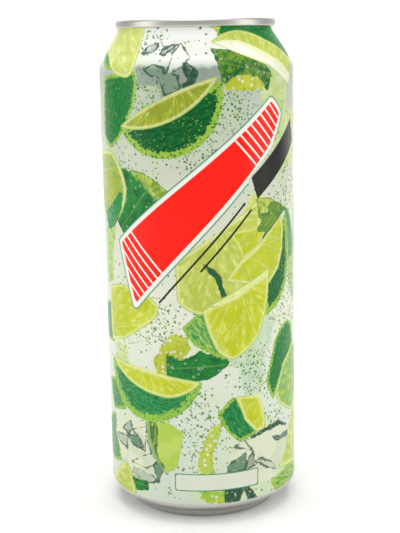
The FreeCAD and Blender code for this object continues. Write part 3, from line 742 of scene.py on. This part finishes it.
def fruit_group():
    """Group shared by the print's sheets: from a sheet's field, tone and shade to its colour and cover."""
    tree = bpy.data.node_groups.new("fruit_print", "ShaderNodeTree")
    for name, kind in FRUIT_INPUTS.items():
        tree.interface.new_socket(name, in_out="INPUT", socket_type="NodeSocket" + kind)
    tree.interface.new_socket("Colour", in_out="OUTPUT", socket_type="NodeSocketColor")
    tree.interface.new_socket("Cover", in_out="OUTPUT", socket_type="NodeSocketFloat")
    r = Recipe(tree)
    given = tree.nodes.new("NodeGroupInput").outputs
    depth, x, y = r.split(given["Field"])
    tone, shade, kind, place, rim = (given[name] for name in ("Tone", "Shade", "Kind", "Place", "Rim"))
    colour = pulp_colour(r, place, depth, x, y, tone, shade, rim)
    for step, painter in ((0.5, peel_colour), (1.5, leaf_colour), (2.5, ice_colour), (3.5, splash_colour)):
        painted = painter(r, place, depth, x, y, tone, shade, rim)
        colour = r.blend(r.above(kind, step, 0.01), colour, painted)
    is_leaf = r.both(r.above(kind, 1.5, 0.01), r.below(kind, 2.5, 0.01))
    is_splash = r.above(kind, 3.5, 0.01)
    raggedness = r.calc("ADD", r.calc("MULTIPLY", is_leaf, 1.3), r.calc("MULTIPLY", is_splash, 3.2))
    ragged = r.calc("SUBTRACT", r.noise(place, 0.6, 2.0), 0.5)
    edge = r.calc("ADD", depth, r.calc("MULTIPLY", ragged, raggedness))
    given_back = tree.nodes.new("NodeGroupOutput").inputs
    tree.links.new(colour, given_back["Colour"])
    tree.links.new(r.above(edge, 0.0, 0.12), given_back["Cover"])
    return tree


# Ground colour by height in millimetres. The last stop, near white from the shoulder up, is a painted
# highlight of light falling from above on the shoulder.
SHOULDER_HIGHLIGHT_GROUND_STOPS = (
    (8.0, (203, 214, 198)), (40.0, (213, 222, 206)), (72.0, (225, 228, 210)), (118.0, (204, 208, 188)),
    (138.0, (186, 196, 180)), (152.0, (176, 186, 176)), (155.5, (235, 236, 231)),
)


def ground_with_shoulder_highlight(r, place):
    """Pale ground that changes up the can, greyer just under the shoulder and then near white from the
    shoulder up, which is a painted highlight of the light from above on the upward-facing shoulder, with
    faint brushed patches.
    """
    height = r.split(place)[2]
    ramp = r.put("ShaderNodeValToRGB", {0: r.calc("DIVIDE", height, CAN_TOP)})
    stops = ramp.color_ramp.elements
    while len(stops) < len(SHOULDER_HIGHLIGHT_GROUND_STOPS):
        stops.new(0.5)
    for stop, (level, chart) in zip(stops, SHOULDER_HIGHLIGHT_GROUND_STOPS):
        stop.position, stop.color = level / CAN_TOP, paint(*chart)
    colour = ramp.outputs[0]
    brushed = r.above(r.noise(place, 0.07, 3.0, 0.6), 0.56, 0.12)
    return r.blend(r.calc("MULTIPLY", brushed, 0.3), colour, WASH_PALE)


def drops_over(r, place, colour):
    """Drops of four sizes on the ground and its washes, thick where the fields of drops are."""
    thick = r.attribute("specks")["Fac"]
    for scale, size, share, tint in (
        (0.4, 0.22, 0.66, SPECK_LIME), (0.62, 0.26, 0.28, SPECK_LIME), (0.6, 0.25, 0.2, SPECK_DARK),
        (0.9, 0.27, 0.3, SPECK_DARK),
    ):
        cells = r.cells(place, scale)
        lot = r.calc("ADD", r.split(cells.outputs["Color"])[0], r.calc("MULTIPLY", thick, 0.75))
        chosen = r.above(lot, share + 0.62, 0.02)
        drop = r.both(r.below(cells.outputs["Distance"], size, 0.05), chosen)
        colour = r.blend(r.calc("MULTIPLY", drop, 0.85), colour, tint)
    return colour


RIBBON_EDGE, RIBBON_WHITE = 1.6, 1.0  # how far the keyline and the white edge lie outside the red
SLITS_FROM, SLITS_PER_MM = 23.0, 0.4  # where the slits start along the ribbon, and how close they are
# Each rule: its level off the strip's own axis, and where it starts and ends along that axis.
RULES = ((1.9, -21.5, 22.5), (-1.4, -4.0, 22.5))
RULE_HALF_WIDTH = 0.34


def label_colour(r, colour):
    """The ribbon with its white edge and keyline, two thin rules beside it, the tag and the box."""
    depth, x, y = r.split(r.attribute("labels_field")["Vector"])
    tones = r.attribute("labels_tone")
    kind, tone = tones["Alpha"], tones["Color"]
    ribbon = r.below(kind, 0.5, 0.01)
    keyline = r.both(ribbon, r.below(r.calc("ABSOLUTE", r.calc("ADD", depth, RIBBON_EDGE)), 0.22, 0.1))
    colour = r.blend(r.both(ribbon, r.above(depth, -RIBBON_EDGE, 0.1)), colour, GROUND)
    colour = r.blend(r.calc("MULTIPLY", keyline, 0.9), colour, KEYLINE)
    colour = r.blend(r.both(ribbon, r.above(depth, -RIBBON_WHITE, 0.1)), colour, WHITE)
    plain = r.both(r.above(depth, 0.0, 0.1), r.below(kind, 2.5, 0.01))
    colour = r.blend(plain, colour, tone)
    turn = r.calc("FRACT", r.calc("MULTIPLY", x, SLITS_PER_MM))
    slits = r.calc("ABSOLUTE", r.calc("SUBTRACT", turn, 0.5))
    near_end = r.above(r.calc("ABSOLUTE", x), SLITS_FROM, 0.05)
    slit = r.both(r.both(ribbon, near_end), r.both(r.below(slits, 0.12, 0.03), r.above(depth, 0.0, 0.1)))
    colour = r.blend(slit, colour, WHITE)
    for level, first, last in RULES:
        line = r.below(r.calc("ABSOLUTE", r.calc("SUBTRACT", y, level)), RULE_HALF_WIDTH, 0.1)
        within = r.both(r.both(r.above(x, first, 0.1), r.below(x, last, 0.1)), r.above(kind, 2.5, 0.01))
        colour = r.blend(r.both(line, within), colour, TAG_BLACK)
    box = r.both(r.above(kind, 1.5, 0.01), r.below(kind, 2.5, 0.01))
    frame_line = r.both(box, r.below(r.calc("ABSOLUTE", depth), 0.18, 0.1))
    return r.blend(frame_line, colour, KEYLINE)


LACQUER = {"Specular IOR Level": 0.18, "Coat Weight": 0.06, "Coat Roughness": 0.12}


def printed_material():
    """Lacquered print over drawn aluminium: the design where the can is printed, bare metal elsewhere."""
    material, r, shader = new_material("lacquered_print")
    place = r.millimetres()
    colour = ground_with_shoulder_highlight(r, place)
    wash = r.attribute("washes_field")["Vector"]
    drift = r.calc("SUBTRACT", r.noise(place, 0.4, 3.0, 0.6), 0.5)
    cover = r.calc("ADD", r.split(wash)[0], r.calc("MULTIPLY", drift, 5.0))
    tones = r.blend(r.above(r.noise(place, 0.3, 3.0, 0.6), 0.5, 0.2), r.attribute("washes_tone")["Color"],
                    r.attribute("washes_shade")["Color"])
    colour = r.blend(r.calc("MULTIPLY", r.above(cover, 0.3, 0.7), 0.85), colour, tones)
    colour = drops_over(r, place, colour)
    group = fruit_group()
    for name in ("back", "middle", "front"):
        field, tone, shade = (r.attribute(f"{name}_{part}") for part in ("field", "tone", "shade"))
        inputs = {"Field": field["Vector"], "Tone": tone["Color"], "Kind": tone["Alpha"],
                  "Shade": shade["Color"], "Rim": shade["Alpha"], "Place": place}
        node = r.tree.nodes.new("ShaderNodeGroup")
        node.node_tree = group
        for socket, value in inputs.items():
            r.tree.links.new(value, node.inputs[socket])
        colour = r.blend(node.outputs["Cover"], colour, node.outputs["Colour"])
        if name == "back":
            colour = ink_over(r, place, colour)
    colour = label_colour(r, colour)

    printed = r.attribute("printed")["Fac"]
    x, y, z = r.split(place)
    scuffs = r.noise(r.join(x, y, r.calc("MULTIPLY", z, 0.1)), 1.6, 3.0)
    metal = r.blend(scuffs, ALUMINIUM, paint(188, 187, 182))
    covered = r.above(printed, 0.5, 0.2)
    finish = r.calc("ADD", 0.24, r.calc("MULTIPLY", scuffs, 0.12))
    grain = r.put("ShaderNodeBump", {"Strength": 0.04, "Distance": 0.0001, "Height": scuffs}).outputs[0]
    connect(r, shader, Base_Color=r.blend(covered, metal, colour), Roughness=finish, Normal=grain,
            Metallic=r.calc("SUBTRACT", 1.0, covered))
    for name, value in LACQUER.items():
        shader.inputs[name].default_value = value
    return material


def metal_material(name, tint, roughness, marks):
    """Satin aluminium: fine marks left by rolling or pressing vary its gloss and its surface."""
    material, r, shader = new_material(name)
    x, y, z = r.split(r.millimetres())
    rolled = r.noise(r.join(x, r.calc("MULTIPLY", y, 0.05), z), marks, 4.0, 0.65)
    worn = r.noise(r.join(x, y, z), 0.5, 3.0)
    colour = r.blend(r.calc("MULTIPLY", worn, 0.35), tint, paint(178, 176, 170))
    finish = r.calc("ADD", roughness, r.calc("MULTIPLY", rolled, 0.14))
    grain = r.put("ShaderNodeBump", {"Strength": 0.12, "Distance": 0.00005, "Height": rolled}).outputs[0]
    connect(r, shader, Base_Color=colour, Roughness=finish, Normal=grain)
    shader.inputs["Metallic"].default_value = 1.0
    return material


# ---------------------------------------------------------------- the can's body


WALL_STEP = 0.65  # between points down the wall
WALL_COLUMNS = 300
SAME = 1e-4  # levels closer than this count as one


def make_body():
    """Turned body: domed bottom, base ring, wall, shoulder and neck, closed under the lid."""
    under, panel = SINK_LEVEL - LID_SHEET, PANEL_LEVEL - LID_SHEET
    half_width, rise = DOME_FOOT[0], DOME_HEIGHT - DOME_FOOT[1]
    dome_radius = (half_width**2 + rise**2) / (2 * rise)
    lean = np.linspace(0.05, 0.93, 12) * math.asin(half_width / dome_radius)
    dome = [
        (dome_radius * math.sin(a), DOME_HEIGHT - dome_radius * (1 - math.cos(a)), 0) for a in lean
    ]
    corners = [
        *dome, (*DOME_FOOT, 1.2), (BASE_RING[0], 0, 1.1), (BASE_RING[1], 0, 1.1), (*FOOT_CORNER, 2.0),
        (WALL_RADIUS, WALL_START, 4.5), (WALL_RADIUS, SHOULDER_CORNER, 5.0),
        (NECK_RADIUS, NECK_CORNER, 3.5), (NECK_RADIUS, BODY_TOP, 0), (SEAT_RADIUS, BODY_TOP, 0),
        (SINK_RADII[1], under, 0), (SINK_RADII[0], under, 0), (SINK_RADII[0], panel, 0), (1.0, panel, 0),
    ]
    outer = rounded_line(corners, WALL_STEP)
    keep = np.ones(len(outer), bool)
    hidden = np.cumsum(outer[:, 1] >= BODY_TOP - SAME) > 0
    keep[hidden & (np.arange(len(outer)) % 6 != 0)] = False
    keep[(outer[:, 1] < DOME_HEIGHT) & (outer[:, 0] < 21.0) & (np.arange(len(outer)) % 2 == 1)] = False
    line = outer[keep]
    rows = turned(line, WALL_COLUMNS)
    poles = ((0, 0, DOME_HEIGHT), (0, 0, panel))
    piece = mesh_piece("printed_body", rows, poles, lay_out=along(line))

    share = np.arange(WALL_COLUMNS) / WALL_COLUMNS
    across = np.tile(share * 2 * math.pi * WALL_RADIUS, len(line))
    up = np.repeat(line[:, 1], WALL_COLUMNS)
    spare = len(poles)
    for name, lay in (("washes", lay_washes), ("back", lay_back), ("ink", lay_ink), ("middle", lay_middle),
                      ("front", lay_front), ("labels", lay_labels)):
        sheet = Sheet(across, up)
        lay(sheet)
        sheet.store(piece.data, name, spare)
    specks = piece.data.attributes.new("specks", "FLOAT", "POINT")
    specks.data.foreach_set("value", np.append(speck_cover(across, up), np.zeros(spare)).astype(np.float32))
    outside = (line[:, 0] > 26.0) & (line[:, 1] > PRINT_FOOT)
    printed = np.concatenate([np.repeat(outside, WALL_COLUMNS), np.zeros(spare)])
    mark = piece.data.attributes.new("printed", "FLOAT", "POINT")
    mark.data.foreach_set("value", printed.astype(np.float32))
    return finish_piece(piece, printed_material(), "can_body")


# ---------------------------------------------------------------- the lid


def capsule(x, y, low, high):
    """Distance outside a shape of two round ends on the Y axis and the lines that touch both, below 0
    inside. Each end is (place on Y, radius)."""
    x = np.abs(x)
    length = high[0] - low[0]
    sine = (low[1] - high[1]) / length
    cosine = math.sqrt(1 - sine * sine)
    y = y - low[0]
    reach = cosine * y - sine * x
    side = cosine * x + sine * y - low[1]
    return np.where(
        reach < 0, np.hypot(x, y) - low[1],
        np.where(reach > cosine * length, np.hypot(x, y - length) - high[1], side),
    )


MOUTH_RADIUS, MOUTH_HALF_STRAIGHT, MOUTH_CENTRE = 7.4, 3.0, -10.8
WELL_LOW, WELL_HIGH = (-7.8, 12.4), (9.3, 9.3)
SIDE_BEAD_RADIUS = 20.6


def lid_relief(x, y):
    """How far the lid's panel stands above its own level at (x, y): the stamped well, the score line and
    bead of the pouring panel, a bead beside each side of the tab, and the rivet's seat."""
    well = -WELL_DEPTH * soft_step(-capsule(x, y, WELL_LOW, WELL_HIGH), -0.3, 0.5)
    mouth = np.hypot(np.maximum(np.abs(x) - MOUTH_HALF_STRAIGHT, 0), y - MOUTH_CENTRE) - MOUTH_RADIUS
    score = -SCORE_DEPTH * soft_step(-np.abs(mouth + 0.15), -0.3, -0.05)
    bead = BEAD_HEIGHT * soft_step(-np.abs(mouth + 1.95), -0.75, -0.1)
    side_bead = SIDE_BEAD_HEIGHT * soft_step(-np.abs(np.hypot(x, y) - SIDE_BEAD_RADIUS), -0.7, -0.1)
    side_bead = side_bead * soft_step(np.abs(x), 13.5, 15.0)
    seat = soft_step(-np.hypot(x, y), -3.4, -2.9)
    return (well + score + bead + side_bead) * (1 - seat) + SEAT_HEIGHT * seat


LID_COLUMNS = 392
SCORE_DEPTH, BEAD_HEIGHT, SIDE_BEAD_HEIGHT, SEAT_HEIGHT = 0.12, 0.25, 0.22, 0.1


def make_lid(metal):
    """Turned lid with its double seam and countersink, the panel raised and sunk by lid_relief."""
    under, panel = SINK_LEVEL - LID_SHEET, PANEL_LEVEL - LID_SHEET
    fixed = [
        (1.0, panel, 0), (SINK_RADII[0], panel, 0), (SINK_RADII[0], under, 0), (SINK_RADII[1], under, 0),
        (SEAT_RADIUS, BODY_TOP, 0), (NECK_RADIUS, BODY_TOP, 0), (NECK_RADIUS, SEAM_FOOT, 0),
        (SEAM_RADIUS, SEAM_FOOT, 0.45), (SEAM_RADIUS, CAN_TOP, 0.9), (25.3, CAN_TOP, 0.45),
        (23.5, SINK_LEVEL, 0.5), (22.4, SINK_LEVEL, 0.5), (PANEL_RADIUS, PANEL_LEVEL, 0.6),
        (21.0, PANEL_LEVEL, 0),
    ]
    shell = rounded_line(fixed, 0.9)
    floor = np.arange(20.85, 0.3, -0.145)
    line = np.vstack([shell, np.column_stack([floor, np.full(len(floor), PANEL_LEVEL)])])
    rows = turned(line, LID_COLUMNS)
    top = np.arange(len(line)) >= len(shell) - 3
    rows[top, :, 2] += lid_relief(rows[top, :, 0], rows[top, :, 1])
    poles = ((0, 0, panel), (0, 0, PANEL_LEVEL + SEAT_HEIGHT))
    piece = mesh_piece("lid_shell", rows, poles, lay_out=along(line))
    return finish_piece(piece, metal, "lid")


def make_rivet(metal):
    """Turned rivet: shank through the tab, and a head with a shallow dimple."""
    corners = [
        (0.3, PANEL_LEVEL - 0.2, 0), (1.55, PANEL_LEVEL - 0.2, 0), (1.55, WEB_TOP + 0.01, 0),
        (2.45, WEB_TOP + 0.01, 0.1), (2.45, RIVET_TOP, 0.27), (1.6, RIVET_TOP, 0.3),
        (1.2, RIVET_TOP - 0.18, 0.3), (0.2, RIVET_TOP - 0.2, 0),
    ]
    line = rounded_line(corners, 0.2)
    poles = ((0, 0, PANEL_LEVEL - 0.2), (0, 0, RIVET_TOP - 0.2))
    piece = mesh_piece("lid_rivet", turned(line, 72), poles, lay_out=along(line))
    return finish_piece(piece, metal, "lid")


# ---------------------------------------------------------------- the tab

TAB_LOW, TAB_HIGH = (-1.2, 7.9), (9.3, 6.6)
FINGER_LOW, FINGER_HIGH = (9.3, 3.4), (10.4, 4.1)
CURL = (TAB_TOP - TAB_FOOT) / 2


def reach_of(middle, angle, outside):
    """How far from the middle each direction stays inside the shape that outside(x, y) measures, found
    by halving the interval where the sign changes."""
    near, far = np.zeros_like(angle), np.full_like(angle, 30.0)
    for _ in range(40):
        half = (near + far) / 2
        beyond = outside(half * np.cos(angle), middle + half * np.sin(angle)) > 0
        near, far = np.where(beyond, near, half), np.where(beyond, half, far)
    return near


def curl(name, middle, outside, inset, half_width, half_height, level, metal):
    """Tube along a closed outline: an oval section is carried along the outline, set in from its edge,
    with the section's first axis square to the path and its second upright."""
    angle = np.linspace(0, 2 * math.pi, 180, endpoint=False)
    reach = reach_of(middle, angle, lambda x, y: outside(x, y) + inset)
    x, y = reach * np.cos(angle), middle + reach * np.sin(angle)
    dx, dy = np.roll(x, -1) - np.roll(x, 1), np.roll(y, -1) - np.roll(y, 1)
    size = np.hypot(dx, dy)
    out_x, out_y = dy / size, -dx / size
    turn = np.linspace(0, 2 * math.pi, 20, endpoint=False)[:, None]
    rows = np.stack(
        [x + out_x * half_width * np.cos(turn), y + out_y * half_width * np.cos(turn),
         level + half_height * np.sin(turn) + 0 * x], -1
    )
    return finish_piece(mesh_piece(name, rows, ring=True), metal, "tab")


def plate(name, middle, inner, outer, low, high, relief, metal):
    """Flat ring of sheet round the middle, from the reach inner to the reach outer, low to high, its upper
    face raised or sunk by relief(x, y)."""
    angle = np.linspace(0, 2 * math.pi, 200, endpoint=False)
    share = np.concatenate([np.linspace(0, 1, 24), np.linspace(1, 0, 24)])[:, None]
    is_top = (np.arange(48) >= 24)[:, None]
    reach = inner(angle) + (outer(angle) - inner(angle)) * share
    x, y = reach * np.cos(angle), middle + reach * np.sin(angle)
    z = np.where(is_top, high + relief(x, y), low)
    piece = mesh_piece(name, np.stack([x, y, z], -1), ring=True)
    return finish_piece(piece, metal, "tab")


def make_tab(metal):
    """Stay-on tab: a curled edge, a curled finger ring, the web held by the rivet and the sheet that
    joins them."""
    level = (TAB_FOOT + TAB_TOP) / 2

    def outside_tab(x, y):
        return capsule(x, y, TAB_LOW, TAB_HIGH)

    def outside_finger(x, y):
        return capsule(x, y, FINGER_LOW, FINGER_HIGH)

    middle = sum(FINGER_LOW[:1] + FINGER_HIGH[:1]) / 2
    bridge = 5.2

    def web_relief(x, y):
        """A slot in an arc round the rivet, and a rib outside it, both towards the nose."""
        slot = soft_step(-np.abs(np.hypot(x, y) - 3.7), -0.35, -0.15) * soft_step(-y, -2.2, -1.6)
        rib = soft_step(-np.abs(np.hypot(x, y + 0.4) - 5.6), -0.6, -0.1) * soft_step(-y, 0.5, 2.5)
        return -0.3 * slot + 0.25 * rib

    curl("tab_edge", 4.0, outside_tab, CURL, CURL, CURL, level, metal)
    curl("tab_finger_ring", middle, outside_finger, -0.55, 0.55, 0.6, level, metal)
    plate(
        "tab_web", 0.0, lambda a: np.full_like(a, 1.65),
        lambda a: reach_of(0.0, a, lambda x, y: np.maximum(outside_tab(x, y) + CURL, y - bridge)),
        TAB_FOOT, WEB_TOP, web_relief, metal,
    )
    plate(
        "tab_tail_sheet", middle, lambda a: reach_of(middle, a, lambda x, y: outside_finger(x, y) - 0.5),
        lambda a: reach_of(middle, a, lambda x, y: np.maximum(outside_tab(x, y) + CURL, bridge - y)),
        level - 0.25, level + 0.25, lambda x, y: 0 * x, metal,
    )


# ---------------------------------------------------------------- floor, lamps and camera


def make_floor():
    """Plain pale floor that sweeps up behind the can: flat, then a quarter round, then upright."""
    reach, rise, bend, half_width = 1.6, 2.2, 0.8, 4.0
    turn = np.linspace(0, math.pi / 2, 16)
    y = np.concatenate([[-3.0], reach + bend * np.sin(turn), [reach + bend]])
    z = np.concatenate([[0.0], bend * (1 - np.cos(turn)), [rise]])
    points = np.stack([np.repeat([[-half_width], [half_width]], len(y), 1),
                       np.tile(y, (2, 1)), np.tile(z, (2, 1))], -1)
    count = len(y)
    first = np.arange(count - 1)
    faces = np.stack([first, first + count, first + count + 1, first + 1], 1)
    mesh = bpy.data.meshes.new("floor")
    mesh.from_pydata(points.reshape(-1, 3).tolist(), [], faces.tolist())
    mesh.polygons.foreach_set("use_smooth", np.ones(len(faces), bool))
    floor = bpy.data.objects.new("floor", mesh)
    bpy.context.scene.collection.objects.link(floor)
    material, r, shader = new_material("pale_floor")
    cloudy = r.noise(r.millimetres(), 0.01, 2.0)
    connect(r, shader, Base_Color=r.blend(cloudy, paint(246, 246, 245), paint(250, 250, 249)))
    shader.inputs["Roughness"].default_value = 0.85
    mesh.materials.append(material)


def softbox(name, place, target, width, height, power):
    """A rectangular lamp at the place, facing the target, in metres and watts."""
    lamp = bpy.data.lights.new(name, "AREA")
    lamp.shape = "RECTANGLE"
    lamp.size, lamp.size_y, lamp.energy = width, height, power
    lamp_object = bpy.data.objects.new(name, lamp)
    lamp_object.location = place
    lamp_object.rotation_euler = (Vector(target) - Vector(place)).to_track_quat("-Z", "Y").to_euler()
    bpy.context.scene.collection.objects.link(lamp_object)


def light_studio():
    """A bright even tent: pale surroundings, a broad box at each side, one overhead, one in front and two
    that light the backdrop."""
    world = bpy.data.worlds.new("studio")
    world.use_nodes = True
    surround = world.node_tree.nodes["Background"].inputs
    surround["Color"].default_value = (1.0, 1.0, 1.0, 1.0)
    surround["Strength"].default_value = 0.38
    bpy.context.scene.world = world
    middle = (0, 0, 0.09)
    softbox("left_box", (-0.8, -0.2, 0.35), middle, 0.5, 0.9, 2.2)
    softbox("right_box", (0.8, -0.2, 0.35), middle, 0.5, 0.9, 2.2)
    softbox("front_box", (0, -0.95, 1.15), middle, 1.2, 0.6, 5.6)
    softbox("top_box", (0, 0.1, 1.1), middle, 0.9, 0.9, 8.0)
    for side, place in (("left", -1.1), ("right", 1.1)):
        softbox(side + "_backdrop_box", (place, 0.6, 0.7), (place * 0.3, 2.4, 0.7), 0.8, 1.0, 16.0)


def place_camera():
    """Camera a little below the rim, tipped down and rolled a little, on a long lens."""
    distance, height, tip, roll, focal, sensor = 0.3972, 0.1615, 0.1955, -0.0191, 77.5, 36.0
    lens = bpy.data.cameras.new("camera")
    lens.lens, lens.sensor_width = focal, sensor
    camera = bpy.data.objects.new("camera", lens)
    ahead = Vector((0, math.cos(tip), -math.sin(tip)))
    level, upright = Vector((1, 0, 0)), Vector((0, math.sin(tip), math.cos(tip)))
    right = level * math.cos(roll) + upright * math.sin(roll)
    up = upright * math.cos(roll) - level * math.sin(roll)
    turn = Matrix((right, up, -ahead)).transposed()
    camera.matrix_world = Matrix.Translation((0, -distance, height)) @ turn.to_4x4()
    bpy.context.scene.collection.objects.link(camera)
    bpy.context.scene.camera = camera
    bpy.context.scene.view_settings.view_transform = "Standard"


# ---------------------------------------------------------------- making it

lid_metal = metal_material("lid_aluminium", paint(206, 204, 196), 0.32, 2.2)
tab_metal = metal_material("tab_aluminium", paint(222, 221, 217), 0.16, 3.0)
make_body()
make_lid(lid_metal)
make_rivet(lid_metal)
make_tab(tab_metal)
make_floor()
light_studio()
place_camera()
